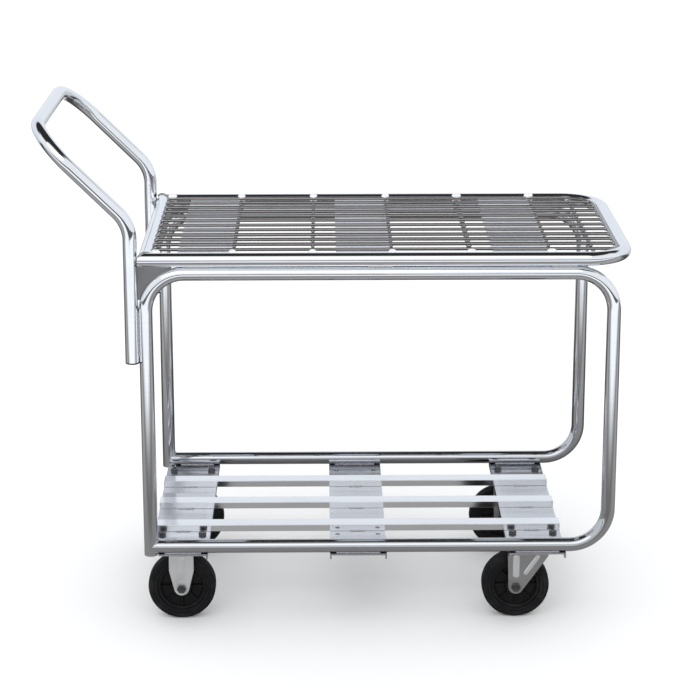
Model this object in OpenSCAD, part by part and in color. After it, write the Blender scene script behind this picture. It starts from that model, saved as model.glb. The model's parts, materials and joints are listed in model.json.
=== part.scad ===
// Two-deck stock cart: bent tube side frames, wire upper deck, slatted lower deck, push handle
// at the rear (-X), two rigid casters at the rear and two swivel casters at the front.
// Millimetres, +Z up, origin on the floor under the middle of the cart's overall box.

/* [Overall] */
// Distance between the axes of the rear and the front legs
frame_l = 842; // [700:1:1050]
// Distance between the axes of the two side frames
frame_w = 482.6; // [430:0.2:620]
// Height of the top of the upper deck's tube
deck_h = 723.7; // [600:0.1:900]

/* [Frame tube] */
// Outer diameter of the frame tube
tube_d = 25.4; // [22:0.1:31]
// Wall of the frame tube
tube_wall = 1.65; // [1.2:0.05:3]
// Bend radius of the side frames, to the tube's axis
loop_r = 70; // [56:1:110]
// Length of a rear leg below the bottom rail's axis
foot_len = 15.7; // [14:0.1:17]

/* [Upper deck] */
// Distance from the front legs' axis to the deck's front rail axis
deck_overhang = 25; // [0:1:60]
// Corner radius of the deck's hoop, to the tube's axis
hoop_r = 76; // [60:1:110]
// Diameter of the deck wires
wire_d = 6; // [4:0.1:8]
// Distance between two lengthwise wires
wire_pitch = 38.1; // [25:0.1:50]
// Distance from the rear rail's axis to the first main cross wire
cross_first = 157; // [130:1:180]
// Distance from the last main cross wire to the front rail's axis
cross_last_gap = 137.6; // [110:0.1:160]
// Distance from the front cross wire to the front rail's axis
cross_front_gap = 59; // [40:1:70]
// Width of a cross support under the wires
support_w = 98; // [60:1:110]
// Depth of a cross support's turned-down edges
support_lip = 14; // [8:1:25]
// Sheet thickness of the cross supports
support_t = 2; // [1.5:0.1:3]

/* [Push handle] */
// Distance from the handle's leg axis back to the grip's axis
handle_reach = 165.6; // [120:0.1:230]
// Height of the grip's axis above the hoop's axis
grip_rise = 232; // [205:1:300]
// Length of the handle's legs below the hoop's axis
handle_lap = 192; // [120:1:260]
// Lean of the handle's upper part from the vertical
handle_lean = 45; // [35:1:52]
// Radius of the bend between leg and leaning part
handle_bend_r = 70; // [50:1:90]
// Corner radius at the two ends of the grip
grip_r = 90; // [50:1:120]

/* [Gusset plates] */
// Thickness of a gusset plate
gusset_t = 5; // [3:0.5:8]
// Length cut off each thin end of a gusset plate
gusset_trim = 22; // [15:1:30]

/* [Lower deck] */
// Width of a bolster
bolster_w = 105; // [101:1:125]
// Sheet thickness of the bolsters
bolster_t = 3; // [2:0.1:4]
// Height of a bolster's turned-down edges, over all
bolster_lip = 10; // [6:0.5:14]
// Distance from the rear bolster's rear edge back to the rear legs' axis
bolster_back = 1; // [0:0.5:6]
// Distance from the front bolster's middle to the front legs' axis
front_bolster_gap = 128.5; // [120:0.5:170]
// Gap between a bolster's end and the side frame's outer face
bolster_inset = 2; // [0:0.5:8]
// Width of a slat
slat_w = 32; // [20:1:38]
// Height of a slat
slat_h = 12.7; // [10:0.1:25]
// Sheet thickness of the slats
slat_t = 2; // [1.5:0.1:3]
// Distance from an outer slat's middle to the row of caster bolts beside it
slat_bolt_gap = 32.4; // [28:0.1:36]

/* [Casters] */
// Diameter of the wheels
wheel_d = 127; // [100:1:160]
// Width of the wheel's tread
wheel_w = 32; // [25:1:36]
// Distance from the side frame's axis to the wheel's middle plane
caster_inset = 66; // [60:1:80]
// Distance from the swivel axis to the front wheel's axle
trail = 34; // [28:1:40]
// Gap between the wheel and the fork's crown
crown_gap = 6; // [4:0.5:12]
// Inner width of a fork
fork_gap = 40; // [38:0.5:46]
// Sheet thickness of the forks
fork_t = 3.2; // [2.5:0.1:4]
// Radius of a fork leg's round end
fork_end_r = 14; // [11:0.5:16]
// Width of a rigid fork's leg at the top
rigid_leg_w = 46; // [36:1:60]
// Thickness of a caster's top plate
plate_t = 3.2; // [2.5:0.1:4]
// Length of a caster's top plate, along the cart
plate_l = 95.2; // [92:0.1:98]
// Width of a caster's top plate
plate_w = 66.7; // [60:0.1:75]
// Bolt spacing along the cart
bolt_dx = 76.2; // [70:0.1:78]
// Bolt spacing across the cart
bolt_dy = 44.5; // [42:0.1:50]
// Diameter of the caster bolts
bolt_d = 7.9; // [6:0.1:8.5]
// Diameter of the axle bolts
axle_d = 9.5; // [8:0.1:10]
// Diameter of the kingpins
kingpin_d = 11; // [9:0.5:13]
// Diameter of the balls in the swivel race
ball_d = 5.6; // [4.5:0.1:6]
// Height of the swivel race between crown and top plate
race_h = 10.6; // [9.5:0.1:13]

/* [Fits] */
// Radial clearance of a bolt in its hole
bolt_clear = 0.4; // [0.2:0.05:0.6]
// Radial clearance of a turning part on its pin
run_clear = 0.06; // [0.03:0.01:0.09]
// Gap between faces of bodies that turn past each other
face_gap = 0.4; // [0.3:0.05:0.8]

/* [Hidden] */
$fn = 64;

// Caster stack, from the floor up
axle_z = wheel_d / 2;
crown_z = wheel_d + crown_gap;
plate_z = crown_z + fork_t + race_h;
caster_h = plate_z + plate_t;
deck2_z = caster_h + bolster_t;

// Frame lines
rail_z = deck2_z + tube_d / 2;
hoop_z = deck_h - tube_d / 2;
top_z = hoop_z - tube_d;
foot_z = rail_z - foot_len;
half_w = frame_w / 2;
tube_r = tube_d / 2;
bore_d = tube_d - 2 * tube_wall;
hoop_x = frame_l + deck_overhang;

// Push handle
handle_x = -tube_d;
grip_x = handle_x - handle_reach;
grip_z = hoop_z + grip_rise;
lean_len = (handle_reach - handle_bend_r * (1 - cos(handle_lean))) / sin(handle_lean);
lean_z = grip_z - handle_bend_r * sin(handle_lean) - lean_len * cos(handle_lean);
// The leaning tubes lap over their bends, a hair thicker, so that the two join cleanly
lean_lap = 0.3;
lean_step = 0.1;
plug_head = 3;
plug_len = 14;
handle_foot_z = hoop_z - handle_lap + plug_head;

// The cart's overall box runs from the grip to the front rail
mid_x = (grip_x - tube_r + hoop_x + tube_r) / 2;

// Upper deck: cross wires at the hoop's axis height, lengthwise wires on top of them.
// The rim wire runs along the hoop's inner side, its distance rounded up to a tenth.
long_z = hoop_z + wire_d;
rim_in = ceil(10 * sqrt(pow(tube_r + wire_d / 2, 2) - pow(long_z - hoop_z, 2))) / 10;
rim_y = half_w - rim_in;
rim_x = hoop_x - rim_in;
rim_r = hoop_r - rim_in;
corner_x = hoop_x - hoop_r;
corner_y = half_w - hoop_r;
long_count = floor((rim_y - wire_d) / wire_pitch);
rear_wire_x = tube_r + wire_d;
cross_pitch = (hoop_x - cross_first - cross_last_gap) / 4;
main_cross = [for (k = [0:4]) cross_first + k * cross_pitch];
cross_x = concat([rear_wire_x], main_cross, [hoop_x - cross_front_gap]);
support_z = hoop_z + wire_d / 2;

// Lower deck
rear_bolster_x = bolster_w / 2 - bolster_back;
front_bolster_x = frame_l - front_bolster_gap;
middle_bolster_x = (rear_bolster_x + front_bolster_x) / 2;
caster_y = half_w - caster_inset;
slat_y = caster_y - bolt_dy / 2 - slat_bolt_gap;

// Fasteners
bolt_hole_d = bolt_d + 2 * bolt_clear;
bolt_head_w = 1.6 * bolt_d;
bolt_head_h = 0.65 * bolt_d;
// Length of a bolt beyond its nut
bolt_end = 2;
axle_hole_d = axle_d + 2 * run_clear;
axle_head_w = 1.6 * axle_d;
axle_head_h = 0.6 * axle_d;

// Wheel, from the axle outwards
sleeve_wall = 2.4;
bearing_wall = 3.85;
hub_wall = 7;
hub_gap = 1.5;
sleeve_d = axle_d + 2 * sleeve_wall;
bearing_d = sleeve_d + 2 * bearing_wall;
hub_w = fork_gap - 2 * hub_gap;
hub_r = bearing_d / 2 + hub_wall;
core_web = 10;
rim_t = 6;
rim_inset = 2;
tread_t = 17.5;
shoulder_r = 5;

// Forks and swivel races
rigid_shoulder = 0.55 * axle_z;
crown_drop = 8;
crown_edge = 2;
kingpin_head_h = 4.5;
kingpin_flange = 3.5;
cup_r = 28;
cup_t = 2;
cup_gap = 2;
race_t = 1.5;
race_r = 19.5;
balls = 16;

// Point where a line from p touches a circle of radius r about the origin
function touch(p, r, side) =
    let (a = atan2(p[1], p[0]) - side * acos(r / norm(p))) [r * cos(a), r * sin(a)];

// Front end of a lengthwise wire, where it meets the rim wire's inner side
function wire_front(y) =
    let (dy = max(0, abs(y) - corner_y), r = rim_r - wire_d / 2) corner_x + sqrt(r * r - dy * dy);

// Half length of a cross wire between the hoop's inner sides
function cross_half(x) =
    let (dx = max(0, x - corner_x), r = hoop_r - tube_r) corner_y + sqrt(r * r - dx * dx);

// Places a drawing made with the rear legs' axis at X = 0 into the cart's own frame
module at_cart(x = 0, y = 0, z = 0) {
    translate([x - mid_x, y, z]) children();
}

module rod_x(x0, x1, d) {
    translate([x0, 0, 0]) rotate([0, 90, 0]) cylinder(h = x1 - x0, d = d);
}

module rod_y(y0, y1, d) {
    translate([0, y1, 0]) rotate([90, 0, 0]) cylinder(h = y1 - y0, d = d);
}

// Bend in the upright plane along the cart, from angle a0 over sweep degrees
module bend_xz(x, z, r, a0, sweep, d) {
    translate([x, 0, z]) rotate([90, 0, 0]) rotate([0, 0, a0])
        rotate_extrude(angle = sweep) translate([r, 0]) circle(d = d);
}

module bend_xy(x, y, r, a0, sweep, d) {
    translate([x, y, 0]) rotate([0, 0, a0])
        rotate_extrude(angle = sweep) translate([r, 0]) circle(d = d);
}

// Bend in the upright plane across the cart
module bend_yz(y, z, r, a0, sweep, d) {
    translate([0, y, z]) rotate([90, 0, 90]) rotate([0, 0, a0])
        rotate_extrude(angle = sweep) translate([r, 0]) circle(d = d);
}

// One side frame: rear leg, top rail, front leg and bottom rail bent from one length.
// rail_x is where the bottom rail starts, below is how far the rear leg's end runs on.
module side_loop(d, rail_x, below) {
    translate([0, 0, foot_z - below]) cylinder(h = top_z - loop_r - foot_z + below, d = d);
    bend_xz(loop_r, top_z - loop_r, loop_r, 90, 90, d);
    translate([0, 0, top_z]) rod_x(loop_r, frame_l - loop_r, d);
    bend_xz(frame_l - loop_r, top_z - loop_r, loop_r, 0, 90, d);
    translate([frame_l, 0, rail_z + loop_r]) cylinder(h = top_z - rail_z - 2 * loop_r, d = d);
    bend_xz(frame_l - loop_r, rail_z + loop_r, loop_r, 270, 90, d);
    translate([0, 0, rail_z]) rod_x(rail_x, frame_l - loop_r, d);
}

module side_frame(y) {
    color("gainsboro") at_cart(0, y, 0) difference() {
        side_loop(tube_d, 0, 0);
        side_loop(bore_d, tube_r, 1);
    }
}

// Block on one side of the mitre plane at a rear corner: the rear rail's side, or the hoop's
module mitre(side, rail_side) {
    far = 2.4 * tube_d;
    turn = rail_side ? 0 : 180;
    translate([0, side * half_w, 0]) rotate([0, 0, -side * 45 + turn])
        translate([-far, side > 0 ? -far : 0, -far / 2]) cube([2 * far, far, far]);
}

module hoop_path(d, extra) {
    for (side = [-1, 1]) {
        translate([0, side * half_w, 0]) rod_x(-tube_r - extra, corner_x, d);
        bend_xy(corner_x, side * corner_y, hoop_r, side > 0 ? 0 : 270, 90, d);
    }
    translate([hoop_x, 0, 0]) rod_y(-corner_y, corner_y, d);
}

module deck_hoop() {
    color("gainsboro") at_cart(0, 0, hoop_z) difference() {
        hoop_path(tube_d, 0);
        hoop_path(bore_d, 1);
        mitre(-1, true);
        mitre(1, true);
    }
}

module deck_rear_rail() {
    color("gainsboro") at_cart(0, 0, hoop_z) difference() {
        rod_y(-half_w - tube_r, half_w + tube_r, tube_d);
        rod_y(-half_w - tube_r - 1, half_w + tube_r + 1, bore_d);
        mitre(-1, false);
        mitre(1, false);
    }
}

// U-shaped handle: two upright legs, a bend backwards and a leaning U with the grip across
module handle_path(d, below) {
    for (side = [-1, 1]) translate([handle_x, side * half_w, 0]) {
        translate([0, 0, handle_foot_z - below]) cylinder(h = lean_z - handle_foot_z + below, d = d);
        bend_xz(-handle_bend_r, lean_z, handle_bend_r, 0, handle_lean, d);
    }
    translate([handle_x - handle_bend_r * (1 - cos(handle_lean)), 0,
               lean_z + handle_bend_r * sin(handle_lean)]) rotate([0, -handle_lean, 0]) {
        for (side = [-1, 1]) {
            translate([0, side * half_w, -lean_lap])
                cylinder(h = lean_len - grip_r + lean_lap, d = d + lean_step);
            bend_yz(side * (half_w - grip_r), lean_len - grip_r, grip_r, side > 0 ? 0 : 90, 90, d);
        }
        translate([0, 0, lean_len]) rod_y(-half_w + grip_r, half_w - grip_r, d);
    }
}

module push_handle() {
    color("gainsboro") at_cart() difference() {
        handle_path(tube_d, 0);
        handle_path(bore_d, 1);
    }
}

// Web between handle leg, deck tube and the outside of the side frame's rear bend
module gusset(y) {
    low_z = top_z - loop_r + gusset_trim;
    color("darkgray") at_cart(0, y, 0) difference() {
        translate([-tube_r - 1, -gusset_t / 2, low_z])
            cube([loop_r - gusset_trim + tube_r + 1, gusset_t, hoop_z - tube_r + 1 - low_z]);
        side_loop(tube_d, 0, 0);
        translate([loop_r, gusset_t, top_z - loop_r]) rotate([90, 0, 0])
            cylinder(h = 2 * gusset_t, r = loop_r);
        translate([handle_x, 0, low_z - 1]) cylinder(h = hoop_z - low_z, d = tube_d);
        translate([0, 0, hoop_z]) rod_x(-2 * tube_d, 2 * loop_r, tube_d);
    }
}

// Sheet support with turned-down edges, its front edge against a main cross wire
module deck_support(index) {
    front = main_cross[index] - wire_d / 2;
    color("lightgray") at_cart(front - support_w, 0, 0) difference() {
        translate([0, -half_w, support_z - support_lip]) cube([support_w, frame_w, support_lip]);
        translate([support_t, -half_w - 1, support_z - support_lip - 1])
            cube([support_w - 2 * support_t, frame_w + 2, support_lip + 1 - support_t]);
        for (side = [-1, 1]) {
            for (z = [hoop_z, top_z]) translate([0, side * half_w, z]) rod_x(-1, support_w + 1, tube_d);
            translate([-1, side * half_w - tube_r / 2, top_z]) cube([support_w + 2, tube_r, tube_d + tube_r]);
        }
    }
}

module deck_rim_wire() {
    color("silver") at_cart(0, 0, long_z) {
        for (side = [-1, 1]) {
            translate([0, side * rim_y, 0]) rod_x(tube_r, corner_x, wire_d);
            bend_xy(corner_x, side * corner_y, rim_r, side > 0 ? 0 : 270, 90, wire_d);
        }
        translate([rim_x, 0, 0]) rod_y(-corner_y, corner_y, wire_d);
    }
}

module deck_long_wires() {
    color("silver") at_cart(0, 0, long_z) for (k = [-long_count:long_count])
        translate([0, k * wire_pitch, 0]) rod_x(tube_r, wire_front(k * wire_pitch), wire_d);
}

module deck_cross_wires() {
    color("silver") at_cart(0, 0, hoop_z) for (x = cross_x)
        translate([x, 0, 0]) rod_y(-cross_half(x), cross_half(x), wire_d);
}

module bolt_places(x, y) {
    for (dx = [-1, 1], dy = [-1, 1]) translate([x + dx * bolt_dx / 2, y + dy * bolt_dy / 2, 0]) children();
}

// Pressed channel under the bottom rails, drilled for a caster at each end
module bolster(x, notched) {
    end_y = half_w + tube_r - bolster_inset;
    notch = tube_r + 1;
    color("lightgray") at_cart() difference() {
        translate([x - bolster_w / 2, -end_y, deck2_z - bolster_lip])
            cube([bolster_w, 2 * end_y, bolster_lip]);
        translate([x - bolster_w / 2 + bolster_t, -end_y - 1, deck2_z - bolster_lip - 1])
            cube([bolster_w - 2 * bolster_t, 2 * end_y + 2, bolster_lip + 1 - bolster_t]);
        for (side = [-1, 1]) bolt_places(x, side * caster_y)
            translate([0, 0, caster_h - 1]) cylinder(h = bolster_t + 2, d = bolt_hole_d);
        if (notched) for (side = [-1, 1])
            translate([-notch, side * half_w - notch, deck2_z - bolster_lip - 1])
                cube([2 * notch, 2 * notch, bolster_lip + 2]);
    }
}

module slat(y) {
    rear_x = -bolster_back;
    length = front_bolster_x + bolster_w / 2 - rear_x;
    color("gainsboro") at_cart(rear_x, y, deck2_z) difference() {
        translate([0, -slat_w / 2, 0]) cube([length, slat_w, slat_h]);
        translate([-1, -slat_w / 2 + slat_t, -1])
            cube([length + 2, slat_w - 2 * slat_t, slat_h + 1 - slat_t]);
    }
}

// Moulded plug with a head as wide as the tube
module handle_end_plugs() {
    color("dimgray") for (side = [-1, 1]) at_cart(handle_x, side * half_w, handle_foot_z) {
        translate([0, 0, -plug_head]) cylinder(h = plug_head, d = tube_d);
        cylinder(h = plug_len, d = bore_d);
    }
}

module foot_plugs() {
    color("dimgray") for (side = [-1, 1]) at_cart(0, side * half_w, foot_z)
        cylinder(h = plug_len, d = bore_d);
}

module hex_bolt(d, grip, end, head_w, head_h) {
    cylinder(h = head_h, d = head_w / cos(30), $fn = 6);
    translate([0, 0, -grip - end]) cylinder(h = grip + end, d = d);
}

module hex_nut(d, across, height) {
    translate([0, 0, -height]) difference() {
        cylinder(h = height, d = across / cos(30), $fn = 6);
        translate([0, 0, -1]) cylinder(h = height + 2, d = d);
    }
}

module caster_bolts(x) {
    color("silver") at_cart() for (side = [-1, 1]) bolt_places(x, side * caster_y)
        translate([0, 0, deck2_z])
            hex_bolt(bolt_d, bolster_t + plate_t, bolt_head_h + bolt_end, bolt_head_w, bolt_head_h);
}

module caster_nuts(x) {
    color("silver") at_cart() for (side = [-1, 1]) bolt_places(x, side * caster_y)
        translate([0, 0, plate_z]) hex_nut(bolt_d, bolt_head_w, bolt_head_h);
}

module top_plate(x, y) {
    difference() {
        translate([x - plate_l / 2, y - plate_w / 2, plate_z]) cube([plate_l, plate_w, plate_t]);
        bolt_places(x, y) translate([0, 0, plate_z - 1]) cylinder(h = plate_t + 2, d = bolt_hole_d);
    }
}

// Fork leg about the axle, its shoulders at x = back and front and its top at height top
module fork_leg(back, front, shoulder, top) {
    rotate([90, 0, 0]) linear_extrude(fork_t, center = true) difference() {
        union() {
            circle(r = fork_end_r);
            polygon([[back, top], [back, shoulder], touch([back, shoulder], fork_end_r, -1),
                     touch([front, shoulder], fork_end_r, 1), [front, shoulder], [front, top]]);
        }
        circle(d = axle_hole_d);
    }
}

module fork_legs(back, front, shoulder, top) {
    for (side = [-1, 1]) translate([0, side * (fork_gap + fork_t) / 2, 0])
        fork_leg(back, front, shoulder, top);
}

// Rigid fork: top plate and both legs pressed in one
module rigid_fork(y) {
    color("silver") at_cart() {
        top_plate(rear_bolster_x, y);
        translate([rear_bolster_x, y, axle_z])
            fork_legs(-rigid_leg_w / 2, rigid_leg_w / 2, rigid_shoulder, plate_z - axle_z);
    }
}

// Swivel caster's fixed plate, with the upper ball race under it
module swivel_plate(y) {
    race_low = crown_z + fork_t + race_t + ball_d + run_clear;
    color("silver") at_cart() difference() {
        union() {
            top_plate(front_bolster_x, y);
            translate([front_bolster_x, y, race_low]) cylinder(h = plate_z - race_low, r = race_r + ball_d);
        }
        translate([front_bolster_x, y, race_low - 1]) cylinder(h = caster_h, d = kingpin_d);
    }
}

module kingpin(y) {
    color("silver") at_cart(front_bolster_x, y, 0) {
        translate([0, 0, crown_z - face_gap]) cylinder(h = caster_h - crown_z + face_gap, d = kingpin_d);
        translate([0, 0, crown_z - face_gap - kingpin_head_h])
            cylinder(h = kingpin_head_h, r = kingpin_d / 2 + kingpin_flange);
    }
}

module swivel_fork(y) {
    back = -fork_end_r - crown_edge;
    front = trail + cup_r - crown_edge;
    crown = crown_z - axle_z;
    color("silver") at_cart(front_bolster_x - trail, y, axle_z) difference() {
        union() {
            fork_legs(back, front, crown - crown_drop, crown + fork_t);
            translate([back, -fork_gap / 2, crown]) cube([front - back, fork_gap, fork_t]);
        }
        translate([trail, 0, crown - 1]) cylinder(h = fork_t + 2, d = kingpin_d + 2 * run_clear);
    }
}

// Lower race with a dust lip round the balls
module swivel_race(y) {
    color("silver") at_cart(front_bolster_x, y, crown_z + fork_t) difference() {
        cylinder(h = race_h - cup_gap, r = cup_r);
        translate([0, 0, race_t]) cylinder(h = race_h, r = cup_r - cup_t);
        translate([0, 0, -1]) cylinder(h = race_h, d = kingpin_d + 2 * face_gap);
    }
}

module swivel_balls(y) {
    color("silver") at_cart(front_bolster_x, y, crown_z + fork_t + race_t + ball_d / 2)
        for (k = [0:balls - 1]) rotate([0, 0, k * 360 / balls]) translate([race_r, 0, 0]) sphere(d = ball_d);
}

// Axle parts about a wheel's middle: the bolt's head is on the cart's outer side
module axle_bolt(side) {
    color("silver") translate([0, side * (fork_gap / 2 + fork_t), 0]) rotate([-side * 90, 0, 0])
        hex_bolt(axle_d, fork_gap + 2 * fork_t, axle_head_h + bolt_end, axle_head_w, axle_head_h);
}

module axle_nut(side) {
    color("silver") translate([0, -side * (fork_gap / 2 + fork_t), 0]) rotate([-side * 90, 0, 0])
        hex_nut(axle_d, axle_head_w, axle_head_h);
}

module axle_sleeve() {
    color("silver") rotate([90, 0, 0]) difference() {
        cylinder(h = fork_gap, d = sleeve_d, center = true);
        cylinder(h = fork_gap + 2, d = axle_hole_d, center = true);
    }
}

module tread() {
    inner = wheel_d / 2 - tread_t;
    flat = wheel_w / 2 - shoulder_r;
    color("black") rotate([90, 0, 0]) rotate_extrude() {
        translate([inner, -flat]) square([tread_t, 2 * flat]);
        translate([inner, -wheel_w / 2]) square([tread_t - shoulder_r, wheel_w]);
        for (s = [-1, 1]) translate([wheel_d / 2 - shoulder_r, s * flat]) circle(r = shoulder_r);
    }
}

module core() {
    rim_out = wheel_d / 2 - tread_t;
    color("dimgray") rotate([90, 0, 0]) rotate_extrude() {
        translate([bearing_d / 2, -hub_w / 2]) square([hub_r - bearing_d / 2, hub_w]);
        translate([bearing_d / 2, -core_web / 2]) square([rim_out - bearing_d / 2, core_web]);
        translate([rim_out - rim_t, -wheel_w / 2 + rim_inset]) square([rim_t, wheel_w - 2 * rim_inset]);
    }
}

module bearing() {
    color("silver") rotate([90, 0, 0]) difference() {
        cylinder(h = hub_w, d = bearing_d, center = true);
        cylinder(h = hub_w + 2, d = sleeve_d + 2 * run_clear, center = true);
    }
}

module rear_axle_place(side) {
    at_cart(rear_bolster_x, side * caster_y, axle_z) children();
}

module front_axle_place(side) {
    at_cart(front_bolster_x - trail, side * caster_y, axle_z) children();
}

side_frame(-half_w);  // side_frame_right
side_frame(half_w);  // side_frame_left
deck_hoop();
deck_rear_rail();
push_handle();
gusset(-half_w);  // gusset_right
gusset(half_w);  // gusset_left
deck_support(0);  // deck_support_rear
deck_support(2);  // deck_support_middle
deck_support(4);  // deck_support_front
deck_rim_wire();
deck_long_wires();
deck_cross_wires();
bolster(rear_bolster_x, true);  // bolster_rear
bolster(middle_bolster_x, false);  // bolster_middle
bolster(front_bolster_x, false);  // bolster_front
slat(-slat_y);  // slat_right
slat(0);  // slat_middle
slat(slat_y);  // slat_left
handle_end_plugs();
foot_plugs();
caster_bolts(rear_bolster_x);  // rear_caster_bolts
caster_nuts(rear_bolster_x);  // rear_caster_nuts
caster_bolts(front_bolster_x);  // front_caster_bolts
caster_nuts(front_bolster_x);  // front_caster_nuts
rigid_fork(-caster_y);  // rear_right_fork
rigid_fork(caster_y);  // rear_left_fork
for (s = [-1, 1]) rear_axle_place(s) axle_bolt(s);  // rear_axle_bolts
for (s = [-1, 1]) rear_axle_place(s) axle_nut(s);  // rear_axle_nuts
for (s = [-1, 1]) rear_axle_place(s) axle_sleeve();  // rear_axle_sleeves
swivel_plate(-caster_y);  // front_right_top_plate
swivel_plate(caster_y);  // front_left_top_plate
kingpin(-caster_y);  // front_right_kingpin
kingpin(caster_y);  // front_left_kingpin
swivel_fork(-caster_y);  // front_right_fork
swivel_fork(caster_y);  // front_left_fork
swivel_race(-caster_y);  // front_right_race
swivel_race(caster_y);  // front_left_race
swivel_balls(-caster_y);  // front_right_balls
swivel_balls(caster_y);  // front_left_balls
front_axle_place(-1) axle_bolt(-1);  // front_right_axle_bolt
front_axle_place(1) axle_bolt(1);  // front_left_axle_bolt
front_axle_place(-1) axle_nut(-1);  // front_right_axle_nut
front_axle_place(1) axle_nut(1);  // front_left_axle_nut
front_axle_place(-1) axle_sleeve();  // front_right_sleeve
front_axle_place(1) axle_sleeve();  // front_left_sleeve
rear_axle_place(-1) tread();  // rear_right_tread
rear_axle_place(1) tread();  // rear_left_tread
front_axle_place(-1) tread();  // front_right_tread
front_axle_place(1) tread();  // front_left_tread
rear_axle_place(-1) core();  // rear_right_core
rear_axle_place(1) core();  // rear_left_core
front_axle_place(-1) core();  // front_right_core
front_axle_place(1) core();  // front_left_core
rear_axle_place(-1) bearing();  // rear_right_bearing
rear_axle_place(1) bearing();  // rear_left_bearing
front_axle_place(-1) bearing();  // front_right_bearing
front_axle_place(1) bearing();  // front_left_bearing
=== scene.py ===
# %% [markdown]
# # A chrome two-deck stock cart
# The cart is a bent-tube frame with a wire upper deck, a slatted lower deck and four casters.
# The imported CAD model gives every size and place. This lesson keeps those places and builds the
# finer surfaces on top: true round tubes, rounded sheet edges, weld beads, hex bolts and finishes.

import json
import math

import bmesh
import bpy
from mathutils import Matrix, Vector


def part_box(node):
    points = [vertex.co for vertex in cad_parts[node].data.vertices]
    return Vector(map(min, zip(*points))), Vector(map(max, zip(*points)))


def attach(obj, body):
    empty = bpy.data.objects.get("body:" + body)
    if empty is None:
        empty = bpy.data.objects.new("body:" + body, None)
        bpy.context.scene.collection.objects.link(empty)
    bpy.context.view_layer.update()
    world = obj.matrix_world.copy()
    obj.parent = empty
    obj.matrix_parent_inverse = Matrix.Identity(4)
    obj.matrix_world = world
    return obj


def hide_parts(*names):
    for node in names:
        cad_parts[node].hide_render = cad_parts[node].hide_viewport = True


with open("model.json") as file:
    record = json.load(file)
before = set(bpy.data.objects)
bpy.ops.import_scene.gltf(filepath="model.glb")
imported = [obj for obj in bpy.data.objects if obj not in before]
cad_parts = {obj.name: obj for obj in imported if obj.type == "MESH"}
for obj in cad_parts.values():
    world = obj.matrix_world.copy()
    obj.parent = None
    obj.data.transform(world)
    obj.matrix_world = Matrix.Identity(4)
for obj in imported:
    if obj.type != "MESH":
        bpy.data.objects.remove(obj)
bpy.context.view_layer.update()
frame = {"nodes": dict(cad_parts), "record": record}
NODES = frame["nodes"]

# %% [markdown]
# ## Measuring the frame
# Every place below comes from the boxes of CAD nodes, so a change of the design moves the pieces
# with it. Only the bends can't be read off a box, so these few values are named here, with lengths
# in metres and angles in radians.

# %% Sizes that the pieces share
LOOP_BEND = 0.070
HOOP_BEND = 0.076
HANDLE_BEND = 0.070
GRIP_BEND = 0.090
HANDLE_LEAN = math.radians(45)
ARC_STEP = math.radians(3)
TUBE_SIDES = 64
WIRE_SIDES = 20
SIDES = ("right", "left")
PLACES = ("rear", "middle", "front")
WHEELS = ("rear_right", "rear_left", "front_right", "front_left")


def middle(node):
    low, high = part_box(node)
    return (low + high) / 2


def size(node):
    low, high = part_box(node)
    return high - low


TUBE_R = size("side_frame_right").y / 2
loop_low, loop_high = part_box("side_frame_right")
hoop_low, hoop_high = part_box("deck_hoop")
handle_low, handle_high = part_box("push_handle")
REAR_X = loop_low.x + TUBE_R
FRONT_X = loop_high.x - TUBE_R
TOP_Z = loop_high.z - TUBE_R
HALF_W = abs(middle("side_frame_right").y)
RAIL_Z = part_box("bolster_middle")[1].z + TUBE_R
HOOP_Z = (hoop_low.z + hoop_high.z) / 2
HOOP_X = hoop_high.x - TUBE_R
WIRE_R = size("deck_rim_wire").z / 2
LONG_Z = middle("deck_rim_wire").z
CROSS_Z = middle("deck_cross_wires").z
print("tube radius", round(TUBE_R, 5), "side frames at", round(HALF_W, 4), "hoop axis", round(HOOP_Z, 4))

# %% [markdown]
# ## Finishes: shared effects
# Chrome never looks clean all over: it carries soft smears from hands and faint hairlines. Its edges
# wear bright and dust settles near the ground, while a painted shade darkens the lower tubes. These
# effects are made once, in two node groups with named inputs, so each finish can take its own share of them.

# %% Node helpers
FLOAT = "NodeSocketFloat"
VECTOR = "NodeSocketVector"
MATERIAL = "NodeSocketMaterial"


def add_node(tree, kind, values=None, **settings):
    """Adds a node, sets its settings and the values of its named or numbered inputs."""
    node = tree.nodes.new(kind)
    for key, value in settings.items():
        setattr(node, key, value)
    for key, value in (values or {}).items():
        if isinstance(value, bpy.types.NodeSocket):
            tree.links.new(value, node.inputs[key])
        else:
            node.inputs[key].default_value = value
    return node


def sockets(tree, ins, outs):
    """Makes a group's sockets from (name, type, default) rows and returns its two end nodes."""
    for name, kind, default in ins:
        socket = tree.interface.new_socket(name=name, in_out="INPUT", socket_type=kind)
        if default is not None:
            socket.default_value = default
    for name, kind in outs:
        tree.interface.new_socket(name=name, in_out="OUTPUT", socket_type=kind)
    return tree.nodes.new("NodeGroupInput"), tree.nodes.new("NodeGroupOutput")


def math_node(tree, operation, a, b, clamp=False):
    return add_node(tree, "ShaderNodeMath", {0: a, 1: b}, operation=operation, use_clamp=clamp).outputs[0]


def ramp(tree, value, low, high, kind="LINEAR"):
    """Goes from 0 at low to 1 at high and stays level outside."""
    node = add_node(tree, "ShaderNodeMapRange", {"Value": value, "From Min": low, "From Max": high},
                    interpolation_type=kind)
    return node.outputs["Result"]


def smooth_step(tree, value, low, high):
    """A ramp with soft ends."""
    return ramp(tree, value, low, high, "SMOOTHSTEP")


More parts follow.
